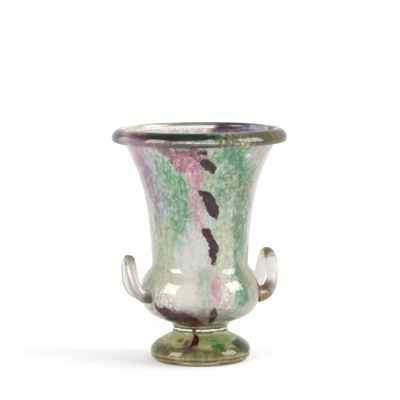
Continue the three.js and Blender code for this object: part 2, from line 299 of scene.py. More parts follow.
BOWL_PATCHES = laid(
    ("grey_green", -30, 145, 13, 12, 35, 0.65),
    ("lavender", -49, 149, 4, 22, 40, 0.9),
    ("rose", -63, 137, 7, 19, 8, 0.95),
    ("violet", -57, 127, 5, 17, 12, 1.0),
    ("rose", -55, 120, 3.4, 11, 8, 0.75),
    ("lavender", -38, 110, 7, 26, 8, 0.85),
    ("grey_green", -28, 112, 6.5, 24, 8, 0.8),
    ("green", -27, 133, 6, 12, 30, 0.9),
    ("green", -22, 122, 4, 13, 14, 0.5),
    ("deep_green", -15, 112, 1.6, 12, 4, 0.35),
    ("green", -26, 95, 5, 8, 20, 0.75),
    ("pale_green", -46, 84, 7, 14, 0, 0.8),
    ("olive", -60, 98, 3, 9, 0, 1.0),
    ("pale_green", -36, 156, 7, 4, 0, 0.7),
    ("pink", -58, 156, 5, 2, 0, 0.45),
    ("plum", -20, 154, 3, 15, 84, 0.9),
    ("plum", -12, 148, 6, 11, 62, 1.0),
    ("plum", -16, 146, 4, 7, 50, 0.8),
    ("green", 30, 156, 9, 4, 0, 0.8),
    ("rose", -7, 143, 4, 12, 48, 0.8),
    ("rose", 0, 137, 4.6, 9, 12, 0.75),
    ("rose", -3, 118, 3, 13, 2, 0.6),
    ("pink", -4, 108, 3.6, 17, 4, 0.8),
    ("olive", -8, 108, 1.6, 12, 0, 0.2),
    ("pale_green", 12, 138, 4.4, 14, 4, 0.9),
    ("green", 24, 149, 7, 6, 12, 0.9),
    ("deep_green", 39, 140, 5, 12, 20, 0.95),
    ("grey_green", 29, 130, 7, 13, 0, 1.0),
    ("olive", 32, 131, 4, 7, 0, 0.4),
    ("deep_green", 57, 121, 5.2, 18, 6, 0.95),
    ("olive", 58, 116, 4.5, 10, 0, 0.95),
    ("grey_green", 26, 108, 6, 15, 0, 0.5),
    ("deep_green", 56, 98, 4.8, 15, 0, 0.95),
    ("frost", -8, 84, 8, 13, 0, 0.8),
    ("pale_green", 30, 84, 7, 14, 0, 0.85),
    ("deep_green", 60, 80, 4, 12, -8, 0.8),
    ("olive", 66, 118, 9, 40, 0, 0.35),
    ("deep_green", 53, 60, 3.6, 9, -16, 0.9),
    ("olive", 58, 58, 3, 10, -16, 0.8),
    ("deep_green", 48, 48, 5, 6, -40, 0.8),
    ("frost", -14, 54, 10, 12, 0, 0.5),
    ("grey_green", 3, 57, 4, 9, 0, 0.5),
    ("pink", 14, 57, 3.4, 12, -8, 0.65),
    ("rose", 14, 52, 2.4, 6, 0, 0.4),
    ("pale_green", -40, 60, 8, 9, -20, 0.35),
    ("pale_green", -82, 66, 14, 26, 0, 0.55),
    ("olive", -66, 58, 4, 14, 10, 0.5),
    ("olive", 72, 54, 5, 15, -10, 0.5),
    ("pale_green", 88, 62, 12, 22, 0, 0.5),
    ("olive", 30, 35.5, 10, 3, 0, 0.55),
    ("russet", -21, 35, 14, 3, -12, 0.6),
    ("umber", 2, 35, 5, 2.4, 0, 0.4),
    ("pink", 84, 128, 8, 24, 0, 0.35),
    ("green", 150, 120, 20, 22, 12, 0.5),
    ("pink", -160, 124, 12, 26, -16, 0.45),
    ("lavender", 178, 92, 14, 22, 8, 0.45),
    ("grey_green", -125, 110, 12, 30, -10, 0.6),
    ("green", -97, 92, 7, 26, 4, 0.5),
    ("violet", 148, 154, 5, 22, 82, 0.9),
    ("aubergine", 150, 156, 3, 16, 82, 0.9),
    ("lavender", 122, 155, 5, 16, 80, 0.9),
    ("olive", 138, 151, 1.4, 12, 76, 0.8),
    ("pink", 118, 110, 10, 28, 12, 0.45),
    ("pale_green", 170, 50, 18, 10, 0, 0.5),
)

FOOT_PATCHES = laid(
    ("amber", -38, 14.5, 2.4, 1.4, 0, 0.9),
    ("amber", -24, 14, 1.6, 1.2, 0, 0.85),
    ("olive", -52, 10, 10, 2.2, 0, 0.5),
    ("lavender", -18, 13, 4, 3, 10, 0.6),
    ("violet", -14, 10.5, 6, 2, 0, 0.5),
    ("pale_green", 14, 15.5, 8, 2.4, -8, 0.7),
    ("green", 36, 15, 9, 2.6, -10, 0.4),
    ("deep_green", 26, 11.5, 5, 2, 0, 0.4),
    ("pale_green", 32, 17, 7, 2.4, 0, 0.7),
    ("pale_green", 50, 15, 7, 3, 0, 0.6),
    ("bottle", 72, 10, 9, 3.2, 0, 1.0),
    ("olive", 110, 12, 18, 5, 0, 0.7),
    ("green", 150, 12, 14, 5, 0, 0.6),
    ("amber", 178, 13, 7, 3, 0, 0.7),
    ("green", -150, 12, 14, 6, 0, 0.6),
    ("olive", -105, 11, 14, 6, 0, 0.7),
)

# Bands that run all round the foot: colour, middle height and half height in mm, and strength.
FOOT_BANDS = (
    # The olive band is partly the foot's own olive glass and partly painted shade, which keeps the lower
    # dome darker than its top.
    ("olive", 8.2, 2.8, 0.75),
    ("sand", 3.6, 2.6, 0.9),
    ("umber", 4.2, 0.6, 0.35),
)

LIP_PATCHES = laid(
    ("rose", -45, 162, 13, 2.4, 0, 0.6),
    ("pink", -30, 157.8, 15, 1.4, 0, 0.5),
    ("bottle", -15, 162.2, 28, 2.1, 0, 1.0),
    ("umber", -8, 165, 24, 0.8, 0, 0.9),
    ("umber", -66, 161.2, 9, 0.8, 0, 0.9),
    *(("olive", bearing, 160.5, 0.8, 4.5, 0, 1.0) for bearing in range(14, 56, 5)),
    ("umber", 82, 160.5, 18, 6, 0, 1.0),
    ("olive", 56, 160.5, 13, 3, 0, 0.7),
    ("amber", 66, 160.3, 9, 2.4, 0, 0.8),
    ("umber", 50, 164.2, 16, 0.9, 0, 0.85),
    # This brown cloud is painted shade on the lip's left end.
    ("umber", -84, 160, 10, 5, 0, 0.5),
    ("violet", 152, 161, 3, 18, 80, 0.75),
    ("aubergine", 158, 161, 2.4, 13, 80, 0.65),
    ("lavender", 132, 161.5, 3, 17, 82, 0.6),
    ("bottle", 105, 160, 12, 3, 0, 0.5),
    ("pale_green", -118, 160, 14, 3, 0, 0.15),
)

# A dark brown cloud in the clear coat, which darkens the lip's right end.
COAT_PATCHES = laid(
    ("umber", 91, 160.5, 17, 9, 0, 0.9),
)

# Stains on the rods of the two handles, and a painted glint on the left one.
RIGHT_PATCHES = laid(
    ("amber", 112, 75, 7, 3.5, 0, 0.5),
    ("umber", 95, 51.5, 5, 5, 0, 1.0),
    ("amber", 98, 43, 6, 4.5, 0, 1.0),
    ("umber", 98, 43, 6, 5, 0, 0.4),
)
LEFT_STAINS_AND_GLINT = laid(
    # Painted glint: this dark green cloud at the left handle's root.
    ("bottle", -62, 50.5, 2.5, 4.5, 0, 1.0),
    ("umber", -53, 46, 4, 4, 0, 0.8),
    ("olive", -74, 76, 7, 1.6, 0, 0.2),
)

# Dark shards: what they stand for, and their broken outlines as bearing in degrees and height in mm.
SHARDS = {
    "shard_under_lip": ((-5.5, 153.4), (4.8, 152.6), (7.6, 149.9), (0.1, 151.2)),
    "shard_upper": ((0.3, 146.4), (7.2, 147), (16, 140.9), (12.6, 136.8), (5.5, 139.8), (1.8, 142.9)),
    "shard_middle": (
        (-1.3, 125.1), (9.8, 123.9), (16.6, 117.3), (21.2, 110.2), (19.9, 103.7), (11.8, 106.2),
        (6.8, 111), (4.9, 115.7), (0.4, 121.6),
    ),
    "shard_long": (
        (1.4, 97.5), (10.2, 98.1), (17.6, 90.9), (22.3, 83.7), (21.6, 77.9), (18.4, 74.4),
        (18.1, 70.9), (14.1, 72.2), (11.8, 78.1), (11.2, 84), (7.5, 89.9), (1.8, 94.1),
    ),
    "shard_belly": (
        (-51.5, 44.3), (-47.4, 41.1), (-36.5, 42.6), (-27.4, 39.4), (-14.6, 38.7), (-2.5, 34.1),
        (10.3, 28.8), (-7.8, 27), (-33, 27.8), (-41.3, 30.8), (-45.3, 33.5), (-46.2, 38.1), (-52.1, 40.7),
    ),
    "shard_low": (
        (11.3, 42.5), (15.7, 41.8), (18.4, 37.9), (17.5, 33.8), (18.7, 30.5), (11.6, 31.7), (10.4, 36.9),
    ),
}
STEM_SHARD = (
    (-16.4, 18.4), (-14, 19.3), (-8, 19.3), (-6.5, 18.2), (-2.5, 16.8), (-3.3, 13.4), (-8, 12.2),
    (-13.1, 13), (-15, 16.5),
)
NECK_SHARD = ((-22.9, 25.6), (-15, 25.4), (-8.4, 25.2), (-10.7, 20.6), (-14.5, 20.9), (-17, 23))

# How a shard is made: how often each side of its outline is cut, the size and reach in mm of the bites
# that break it there, the mesh that lets it bend with the wall, and its thickness, all in mm.
SHARD_CUTS = 9
SHARD_BITES = ((2.2, 1.0), (0.9, 1.2))
SHARD_GRID = 1.0
SHARD_SNAP = 0.02
SHARD_THICKNESS = 0.9

# A rod's root is cut a hair inside the belly's outside.
SEAT_DEPTH = 0.03 * MM

# Stains and the painted glint on a handle lie this far inside its reach, round its crown and round its
# roots, in mm.
CROWN_BASE = 60
CROWN_INSET, ROOT_INSET = 5, 10

# Middle of the neck, where the foot was joined on, in mm.
JOIN_HEIGHT = 24.0

# Where the lamp shines from: from behind, from the right and from above. The softboxes are given in
# degrees, by bearing, rise, half width and half height.
LAMP_FROM = Vector((0.85, 0.3, 1.0))
SOFTBOXES = ((-62, 22, 13, 17), (76, 25, 17, 17))


def outline(*spans):
    """Points along curves of radius and height. A span is two ends with a pull point for each."""
    points = []
    for start, leave, arrive, end in spans:
        made = interpolate_bezier(start, leave, arrive, end, SPAN_STEPS + 1)
        points += [Vector(p[:2]) for p in made[1 if points else 0 :]]
    return points


def rounded(start, corner, end):
    """A curve from one point to another that rounds off the corner between them."""
    leave, arrive = start.lerp(corner, ROUNDING), end.lerp(corner, ROUNDING)
    return [Vector(p[:2]) for p in interpolate_bezier(start, leave, arrive, end, SPAN_STEPS)]


def moved_in(points, depth):
    """A rising outline moved into the wall by a depth."""
    last = len(points) - 1
    moved = []
    for i, p in enumerate(points):
        along = (points[min(i + 1, last)] - points[max(i - 1, 0)]).normalized()
        moved.append(p + depth * Vector((-along.y, along.x)))
    return moved


def between(points, low, high=math.inf):
    """The part of a rising outline between two heights, cut off level."""
    kept = [p for p in points if low < p.y < high]
    if points[0].y < low:
        kept.insert(0, Vector((radius_at(points, low), low)))
    if points[-1].y > high:
        kept.append(Vector((radius_at(points, high), high)))
    return kept


def radius_at(points, height, least_rise=1e-9):
    """Radius of a rising outline at a height."""
    for under, over in zip(points, points[1:]):
        if under.y <= height <= over.y:
            share = (height - under.y) / max(over.y - under.y, least_rise)
            return under.x + (over.x - under.x) * share
    raise ValueError(f"the outline doesn't reach {height / MM:.1f} mm")


def bowl_outline(bowl):
    """Outside of the bowl, from the neck to the top edge of the wall."""
    neck = Vector((bowl.neck_radius, bowl.neck_height))
    belly = Vector((bowl.belly_radius, bowl.belly_height))
    waist = Vector((bowl.waist_radius, bowl.waist_height))
    lip = Vector((bowl.lip_radius, bowl.lip_height))
    return outline(
        (neck, neck + Vector((0, bowl.neck_pull)), belly - Vector((0, bowl.belly_pull_down)), belly),
        (belly, belly + Vector((0, bowl.belly_pull_up)),
         waist - Vector((0, bowl.waist_pull_down)), waist),
        (waist, waist + Vector((bowl.waist_lean, bowl.waist_pull_up)),
         lip - Vector((bowl.lip_flare, bowl.lip_pull_down)), lip),
    )


def foot_outline(foot, bowl):
    """Outside of the foot, from the ring it stands on to the neck."""
    ring = Vector((foot.ring_outer, 0))
    edge = Vector((foot.radius, foot.edge_height))
    neck = Vector((bowl.neck_radius, bowl.neck_height))
    corner = edge - Vector((0, foot.edge_pull))
    return outline(
        (ring, ring.lerp(corner, ROUNDING), edge.lerp(corner, ROUNDING), edge),
        (edge, edge + Vector((0, foot.dome_pull)), neck - Vector((0, foot.neck_pull)), neck),
    )


def oval(lip, coat=0.0):
    """The lip's section, under a coat of clear glass, and the middle that its box gives."""
    half = Vector((lip.half_length, lip.half_thickness))
    turn = Matrix.Rotation(-lip.droop, 2)
    reach_out = math.hypot(half.x * math.cos(lip.droop), half.y * math.sin(lip.droop))
    reach_up = math.hypot(half.x * math.sin(lip.droop), half.y * math.cos(lip.droop))
    middle = Vector((LIP_HIGH.x - reach_out, LIP_HIGH.z - reach_up))
    points = []
    for i in range(OVAL_STEPS + 1):
        around = 2 * math.pi * i / OVAL_STEPS
        point = Vector(((half.x - coat) * math.cos(around), (half.y - coat) * math.sin(around)))
        points.append(middle + turn @ point)
    return points, middle


def to_lip(points, lip):
    """A face of the wall, carried on over its top edge until it is just inside the lip."""
    section, middle = oval(lip)
    along = (points[-1] - points[-2]).normalized()
    pull = points[-1] + along * lip.reach
    nearest = min((p - middle).length for p in section)
    roll = []
    for i in range(1, SPAN_STEPS + 1):
        share = i / SPAN_STEPS
        point = points[-1].lerp(pull, share).lerp(pull.lerp(middle, share), share)
        roll.append(point)
        if (point - middle).length < nearest:
            break
    return points + roll


def turned(bands):
    """A closed solid of revolution. Each band is a line of radius and height, with its material."""
    bm = bmesh.new()
    scratch = bpy.data.meshes.new("scratch")
    for points, material in bands:
        band = bmesh.new()
        verts = [band.verts.new((p.x, 0, p.y)) for p in points]
        edges = [band.edges.new(pair) for pair in zip(verts, verts[1:])]
        bmesh.ops.spin(
            band, geom=verts + edges, cent=(0, 0, 0), axis=(0, 0, 1), dvec=(0, 0, 0),
            angle=2 * math.pi, steps=ROUND_STEPS, use_merge=True,
        )
        for face in band.faces:
            face.material_index = material
        band.to_mesh(scratch)
        band.free()
        bm.from_mesh(scratch)
    bpy.data.meshes.remove(scratch)
    bmesh.ops.remove_doubles(bm, verts=bm.verts, dist=MERGE)
    bmesh.ops.dissolve_degenerate(bm, edges=bm.edges, dist=MERGE)
    return bm


def hand_blown(bm, lean=0.25 * MM, size=45 * MM):
    """Moves a mesh as the glass moved on the pipe, with the same gentle swells for every piece."""
    for vert in bm.verts:
        swell = noise.noise(vert.co / size) * lean
        vert.co.x += swell
        vert.co.y += noise.noise((vert.co + Vector((1, 1, 1))) / size) * lean
    return bm


def closed_mesh(name, bm):
    """Turns every face outwards and stops if the mesh has a hole."""
    bmesh.ops.recalc_face_normals(bm, faces=bm.faces)
    if any(not edge.is_manifold for edge in bm.edges):
        raise RuntimeError(f"{name} isn't closed")
    for face in bm.faces:
        face.smooth = True
    for edge in bm.edges:
        one, other = edge.link_faces
        edge.smooth = one.material_index == other.material_index and edge.calc_face_angle() <= CREASE
    mesh = bpy.data.meshes.new(name)
    bm.to_mesh(mesh)
    bm.free()
    return mesh


def place(name, bm, materials, node):
    """Makes a piece of a finished mesh, which rides on the vase and stands for a solid."""
    mesh = closed_mesh(name, bm)
    for material in materials:
        mesh.materials.append(material)
    piece = bpy.data.objects.new(name, mesh)
    bpy.context.scene.collection.objects.link(piece)
    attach(piece, BODY)
    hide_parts(node)


def add(tree, kind, inputs=(), out=0, **settings):
    """Adds a shader node with its settings. Inputs are values or links, by name or in their order. One
    output is given back, or the node where that is None."""
    node = tree.nodes.new("ShaderNode" + kind)
    for name, value in settings.items():
        setattr(node, name, value)
    for name, value in inputs.items() if isinstance(inputs, dict) else enumerate(inputs):
        if isinstance(value, bpy.types.NodeSocket):
            tree.links.new(value, node.inputs[name])
        else:
            node.inputs[name].default_value = value
    return node if out is None else node.outputs[out]


def new_material(name):
    """An empty material and its node tree."""
    material = bpy.data.materials.new(name)
    material.use_nodes = True
    material.node_tree.nodes.clear()
    return material, material.node_tree


def surfaced(material, shader):
    """A material, with a shader on its surface."""
    add(material.node_tree, "OutputMaterial", {"Surface": shader}, out=None)
    return material


def in_mm(tree):
    """The place on the piece, in millimetres, so that the Scale of a pattern is 1 over its size."""
    here = add(tree, "TexCoord", out="Object")
    return add(tree, "VectorMath", {0: here, "Scale": 1 / MM}, operation="SCALE")


def drifted(tree, place_mm, size, reach):
    """The place, pushed about as the soft glass pushed the powder, by swells of a size, in mm."""
    swells = {"Vector": place_mm, "Scale": 1 / size, "Detail": 3, "Roughness": 0.55}
    drift = add(tree, "TexNoise", swells, out="Color")
    centred = add(tree, "VectorMath", (drift, (0.5, 0.5, 0.5)), operation="SUBTRACT")
    push = add(tree, "VectorMath", {0: centred, "Scale": reach}, operation="SCALE")
    return add(tree, "VectorMath", (place_mm, push), operation="ADD")


def cracks(tree, place_mm, size, width):
    """1 along a net of cracks whose cells are a size across, and 0 between them, both in mm."""
    net = add(tree, "TexVoronoi", {"Vector": place_mm, "Scale": 1 / size}, feature="DISTANCE_TO_EDGE")
    return add(tree, "MapRange", {
        "Value": net, "From Min": 0.0, "From Max": width / size, "To Min": 1.0, "To Max": 0.0,
    }, interpolation_type="SMOOTHSTEP")


def patch_mask(tree, place_mm, patch, radius, ragged, soft, spread, depth):
    """How thick the powder of a patch lies, from 0 to its strength."""
    plan = math.radians(FRONT + patch.bearing)
    middle = (radius * math.cos(plan), radius * math.sin(plan), patch.height)
    local = add(tree, "Mapping", {
        "Vector": place_mm, "Location": middle, "Rotation": (math.radians(patch.lean), 0, plan),
        "Scale": (depth, patch.half_width * spread, patch.half_length * spread),
    }, vector_type="TEXTURE")
    away = add(tree, "VectorMath", (local,), out="Value", operation="LENGTH")
    torn = add(tree, "Math", (away, ragged), operation="ADD")
    return add(tree, "MapRange", {
        "Value": torn, "From Min": 1 - soft, "From Max": 1 + soft, "To Min": patch.strength,
        "To Max": 0.0,
    }, interpolation_type="SMOOTHSTEP")


def powdered(tree, place_mm, torn, patches, ground, radius, soft=0.4, tear=0.7, spread=1.0, depth=15.0):
    """Density of a ground with clouds of powder on it, torn by a noise, and how thick they lie. Soft is
    how far an edge fades, tear how ragged it is, spread how much larger all clouds are drawn, and depth
    how far they reach into the wall, in mm."""
    palette = bpy.context.scene.vase_colours
    centred = add(tree, "Math", (torn, 0.5), operation="SUBTRACT")
    ragged = add(tree, "Math", (centred, 2 * tear), operation="MULTIPLY")
    dense, thick = density(ground), None
    for patch in patches:
        mask = patch_mask(tree, place_mm, patch, radius(patch.height), ragged, soft, spread, depth)
        powder = density(getattr(palette, patch.colour))
        dense = add(tree, "Mix", {
            FACTOR: mask, COLOUR_A: dense, COLOUR_B: powder,
        }, out=MIXED_COLOUR, data_type="RGBA")
        thick = mask if thick is None else add(tree, "Math", (thick, mask), operation="MAXIMUM")
    return dense, thick


def tinted(tree, dense):
    """The colour of the light that a density lets through."""
    parts = add(tree, "SeparateColor", (dense,), out=None)
    left = {
        name: add(tree, "Math", (math.exp(-1), parts.outputs[name]), operation="POWER")
        for name in ("Red", "Green", "Blue")
    }
    return add(tree, "CombineColor", left)


def ringed(tree, place_mm, around=0.12):
    """The place with patterns drawn out round the vase, as the turning iron draws them."""
    parts = add(tree, "SeparateXYZ", (place_mm,), out=None)
    flat = add(tree, "CombineXYZ", (parts.outputs["X"], parts.outputs["Y"]))
    radius = add(tree, "VectorMath", (flat,), out="Value", operation="LENGTH")
    rings = add(tree, "CombineXYZ", {0: radius, 2: parts.outputs["Z"]})
    slow = add(tree, "VectorMath", {0: flat, "Scale": around}, operation="SCALE")
    return add(tree, "VectorMath", (rings, slow), operation="ADD")


def clear_casing_glass(name, ground):
    """Soda-lime glass gathered clear over the colours and blown: fire polished and faintly wavy, and
    wavier and a little straw coloured where the foot was joined on hot."""
    material, tree = new_material(name)
    palette = bpy.context.scene.vase_colours
    here = in_mm(tree)
    height = add(tree, "SeparateXYZ", (here,), out="Z")
    away = add(tree, "Math", (height, JOIN_HEIGHT), operation="SUBTRACT")
    away = add(tree, "Math", (away,), operation="ABSOLUTE")
    near = add(tree, "MapRange", {
        "Value": away, "From Min": 3.0, "From Max": 12.0, "To Min": 0.9, "To Max": 0.0,
    })
    tint = add(tree, "Mix", {
        FACTOR: near, COLOUR_A: ground, COLOUR_B: palette.straw,
    }, out=MIXED_COLOUR, data_type="RGBA")
    waves = add(tree, "TexNoise", {"Vector": here, "Scale": 1 / 7, "Detail": 2, "Roughness": 0.55})
    at_join, elsewhere = 7.0, 1.0
    rough = add(tree, "Math", (near, at_join, elsewhere), operation="MULTIPLY_ADD")
    waves = add(tree, "Math", (waves, rough), operation="MULTIPLY")
    shader = add(tree, "BsdfPrincipled", {
        "Base Color": tint, "Roughness": 0.0, "IOR": GLASS_IOR, "Transmission Weight": 1.0,
        "Normal": add(tree, "Bump", {"Height": waves, "Strength": 1, "Distance": 0.12 * MM}),
    })
    return surfaced(material, shader)


def fused_seam():
    """Where two gathers of hot glass were joined: one glass goes on in the other and nothing shows."""
    material, tree = new_material("fused_seam")
    return surfaced(material, add(tree, "BsdfTransparent"))


def powder_coloured_glass(wall_radius):
    """Clear glass rolled in crushed coloured glass, dipped in water so that it crackled, and blown out:
    soft torn clouds of colour, cloudy where they are thick, on a net of fine cracks that break the light,
    with painted shade along them where no powder lies. The finest cracks are drawn about twice as coarse
    as they are, so that they show."""
    material, tree = new_material("powder_coloured_glass")
    palette = bpy.context.scene.vase_colours
    here = in_mm(tree)
    pushed = drifted(tree, drifted(tree, here, size=22.0, reach=11.0), size=8.0, reach=6.0)
    drawn = drifted(tree, here, size=14.0, reach=5.0)
    drawn = add(tree, "VectorMath", (drawn, (1.0, 1.0, 0.55)), operation="MULTIPLY")
    torn = add(tree, "TexNoise", {"Vector": drawn, "Scale": 1 / 5, "Detail": 5, "Roughness": 0.62})
    dense, thick = powdered(tree, pushed, torn, BOWL_PATCHES, palette.frost, wall_radius, spread=1.3)
    blotch = add(tree, "TexNoise", {"Vector": drawn, "Scale": 1 / 3.2, "Detail": 4, "Roughness": 0.6})
    amount = add(tree, "MapRange", {
        "Value": blotch, "From Min": 0.32, "From Max": 0.68, "To Min": 1.5, "To Max": 0.35,
    })
    bent = drifted(tree, here, size=5.0, reach=2.2)
    coarse = cracks(tree, bent, size=5.2, width=0.6)
    fine = cracks(tree, bent, size=2.5, width=0.45)
    zone = add(tree, "TexNoise", {"Vector": here, "Scale": 1 / 20, "Detail": 2, "Roughness": 0.55})
    strong = add(tree, "MapRange", {
        "Value": zone, "From Min": 0.4, "From Max": 0.6, "To Min": 0.55, "To Max": 1.0,
    })
    small = add(tree, "Math", (fine, strong), operation="MULTIPLY")
    net = add(tree, "Math", (coarse, small), operation="MAXIMUM")
    longer = add(tree, "VectorMath", (bent, (1.0, 1.0, 0.7)), operation="MULTIPLY")
    flecks = add(tree, "TexNoise", {"Vector": longer, "Scale": 1 / 1.7, "Detail": 2, "Roughness": 0.7})
    speckled = add(tree, "MapRange", {
        "Value": flecks, "From Min": 0.35, "From Max": 0.65, "To Min": 1.35, "To Max": 0.75,
    })
    # A crack holds less powder and dips. Where it is wide enough and no powder lies, it takes painted
    # shade: a darker line for the light that it turns away.
    paler, crack_shade_weight, least, dip = -0.5, 0.7, -0.05, -0.4
    split = add(tree, "Math", (net, paler, speckled), operation="MULTIPLY_ADD")
    amount = add(tree, "Math", (amount, split), operation="MULTIPLY")
    bare = add(tree, "MapRange", {
        "Value": thick, "From Min": 0.0, "From Max": 0.5, "To Min": 1.0, "To Max": 0.1,
    })
    dark = add(tree, "Math", (net, crack_shade_weight, least), operation="MULTIPLY_ADD")
    dark = add(tree, "Math", (dark, speckled), operation="MULTIPLY")
    dark = add(tree, "Math", (dark, bare), operation="MULTIPLY")
    powder = add(tree, "VectorMath", {0: dense, "Scale": amount}, operation="SCALE")
    crack_shade_density = add(tree, "VectorMath", {
        0: tuple(density(palette.crack_shade)[:3]), "Scale": dark,
    }, operation="SCALE")
    both = add(tree, "VectorMath", (powder, crack_shade_density), operation="ADD")
    tint = tinted(tree, both)
    through = add(tree, "MapRange", {
        "Value": thick, "From Min": 0.0, "From Max": 1.0, "To Min": 0.94, "To Max": 0.55,
    })
    dull = add(tree, "MapRange", {
        "Value": thick, "From Min": 0.0, "From Max": 0.6, "To Min": 0.03, "To Max": 0.25,
    })
    waves = add(tree, "TexNoise", {"Vector": here, "Scale": 1 / 4, "Detail": 4, "Roughness": 0.55})
    height = add(tree, "Math", (net, dip, waves), operation="MULTIPLY_ADD")
    shader = add(tree, "BsdfPrincipled", {
        "Base Color": tint, "Roughness": dull, "IOR": GLASS_IOR, "Transmission Weight": through,
        "Normal": add(tree, "Bump", {"Height": height, "Strength": 1, "Distance": 0.3 * MM}),
    })
    return surfaced(material, shader)


def glass_with_stains_and_glints(name, ground, patches=(), radius=None, waves=0.05, strength=1.0):
    """Drawn or pressed clear glass with clouds of colour in it, stains and the painted glint on the left
    handle: fire polished and faintly wavy.
    """
    material, tree = new_material(name)
    here = in_mm(tree)
    shade = list(ground)
    if patches:
        torn = add(tree, "TexNoise", {"Vector": here, "Scale": 1 / 3, "Detail": 3, "Roughness": 0.55})
        pushed = drifted(tree, here, size=6.0, reach=3.0)
        dense, _ = powdered(
            tree, pushed, torn, patches, ground, radius, soft=0.6, tear=0.3, depth=8.0
        )
        shade = tinted(tree, dense)
    height = add(tree, "TexNoise", {"Vector": here, "Scale": 1 / 5, "Detail": 2, "Roughness": 0.55})
    shader = add(tree, "BsdfPrincipled", {
        "Base Color": shade, "Roughness": 0.0, "IOR": GLASS_IOR, "Transmission Weight": strength,
        "Normal": add(tree, "Bump", {"Height": height, "Strength": 1, "Distance": waves * MM}),
    })
    return surfaced(material, shader)


def streaked_film(name, ground, patches, radius, clear, dense, drift, bands=()):
    """Colour trapped under clear glass and turned with it: streaks round the vase, dense in places."""
    material, tree = new_material(name)
    here = in_mm(tree)
    rings = ringed(tree, here)
    torn = add(tree, "TexNoise", {"Vector": rings, "Scale": 1 / 1.6, "Detail": 4, "Roughness": 0.6})
    pushed = drifted(tree, here, size=7.0, reach=drift)
    layer, thick = powdered(tree, pushed, torn, patches, ground, radius, soft=0.4, tear=0.8)
    level = add(tree, "SeparateXYZ", (drifted(tree, here, size=9.0, reach=1.2),), out="Z")
    full, faded = 0.4, 1.3
    for shade, middle, half, strength in bands:
        away = add(tree, "Math", (level, middle), operation="SUBTRACT")
        away = add(tree, "Math", (away,), operation="ABSOLUTE")
        mask = add(tree, "MapRange", {
            "Value": away, "From Min": full * half, "From Max": faded * half, "To Min": strength,
            "To Max": 0.0,
        }, interpolation_type="SMOOTHSTEP")
        powder = density(getattr(bpy.context.scene.vase_colours, shade))
        layer = add(tree, "Mix", {
            FACTOR: mask, COLOUR_A: layer, COLOUR_B: powder,
        }, out=MIXED_COLOUR, data_type="RGBA")
    longer = add(tree, "VectorMath", (here, (1.0, 1.0, 0.6)), operation="MULTIPLY")
    blotch = add(tree, "TexNoise", {"Vector": longer, "Scale": 1 / 2.6, "Detail": 4, "Roughness": 0.55})
    amount = add(tree, "MapRange", {
        "Value": blotch, "From Min": 0.32, "From Max": 0.68, "To Min": 1.4, "To Max": 0.5,
    })
    tint = tinted(tree, add(tree, "VectorMath", {0: layer, "Scale": amount}, operation="SCALE"))
    through = add(tree, "MapRange", {
        "Value": thick, "From Min": 0.0, "From Max": 1.0, "To Min": clear, "To Max": dense,
    })
    shader = add(tree, "BsdfPrincipled", {
        "Base Color": tint, "Roughness": 0.1, "IOR": CASED_IOR, "Transmission Weight": through,
    })
    return surfaced(material, shader)


def aubergine_shard_glass():
    """Thin blown glass of manganese purple, broken up and picked up hot: nearly black, and red and half
    clear under the belly, where it was stretched thin. It has no gloss of its own inside the wall."""
    material, tree = new_material("aubergine_shard_glass")
    palette = bpy.context.scene.vase_colours
    here = in_mm(tree)
    blotch = add(tree, "TexNoise", {"Vector": here, "Scale": 1 / 4, "Detail": 4, "Roughness": 0.6})
    height = add(tree, "SeparateXYZ", (here,), out="Z")
    thinned = add(tree, "MapRange", {
        "Value": height, "From Min": 40.0, "From Max": 60.0, "To Min": 0.22, "To Max": 0.0,
    })
    redder = add(tree, "Math", (blotch, thinned), operation="ADD")
    share = add(tree, "MapRange", {
        "Value": redder, "From Min": 0.4, "From Max": 0.85, "To Min": 0.0, "To Max": 1.0,
    })
    shade = add(tree, "Mix", {
        FACTOR: share, COLOUR_A: palette.aubergine, COLOUR_B: palette.russet,
    }, out=MIXED_COLOUR, data_type="RGBA")
    through = add(tree, "MapRange", {
        "Value": share, "From Min": 0.3, "From Max": 0.8, "To Min": 0.05, "To Max": 0.65,
    })
    shader = add(tree, "BsdfPrincipled", {
        "Base Color": shade, "Roughness": 0.3, "IOR": CASED_IOR, "Transmission Weight": through,
    })
    return surfaced(material, shader)


def ground_foot_ring():
    """Foot ring ground flat on a wheel: matt, and beige against the light. Its scratches are drawn
    several times as coarse as they are, so that they show."""
    material, tree = new_material("ground_foot_ring")
    rings = ringed(tree, in_mm(tree))
    scratches = add(tree, "TexNoise", {"Vector": rings, "Scale": 1 / 0.5, "Detail": 3, "Roughness": 0.55})
    shader = add(tree, "BsdfPrincipled", {
        "Base Color": bpy.context.scene.vase_colours.sand, "Roughness": 0.55, "IOR": GLASS_IOR,
        "Transmission Weight": 0.3,
        "Normal": add(tree, "Bump", {"Height": scratches, "Strength": 1, "Distance": 0.04 * MM}),
    })
    return surfaced(material, shader)


def frosted_acrylic_table():
    """Frosted white acrylic table top, lit a little from below, which takes the weight off shadows."""
    material, tree = new_material("frosted_acrylic_table")
    here = in_mm(tree)
    grain = add(tree, "TexNoise", {"Vector": here, "Scale": 1 / 0.8, "Detail": 2, "Roughness": 0.55})
    shader = add(tree, "BsdfPrincipled", {
        "Base Color": bpy.context.scene.vase_stage.white, "Roughness": 0.9, "Specular IOR Level": 0.1,
        "Emission Color": (1, 1, 1, 1), "Emission Strength": 0.2,
        "Normal": add(tree, "Bump", {"Height": grain, "Strength": 1, "Distance": 0.01 * MM}),
    })
    return surfaced(material, shader)


def wall_at(points, edge=0.001 * MM):
    """A function that gives a patch the radius of the wall at its height, both in mm."""
    low, high = points[0].y + edge, points[-1].y - edge
    return lambda height: radius_at(points, min(max(height * MM, low), high)) / MM


def rod_at(reach):
    """A function that gives a handle's stains and painted glint the radius of its rod at their height,
    both in mm.
    """
    return lambda height: reach - (CROWN_INSET if height > CROWN_BASE else ROOT_INSET)


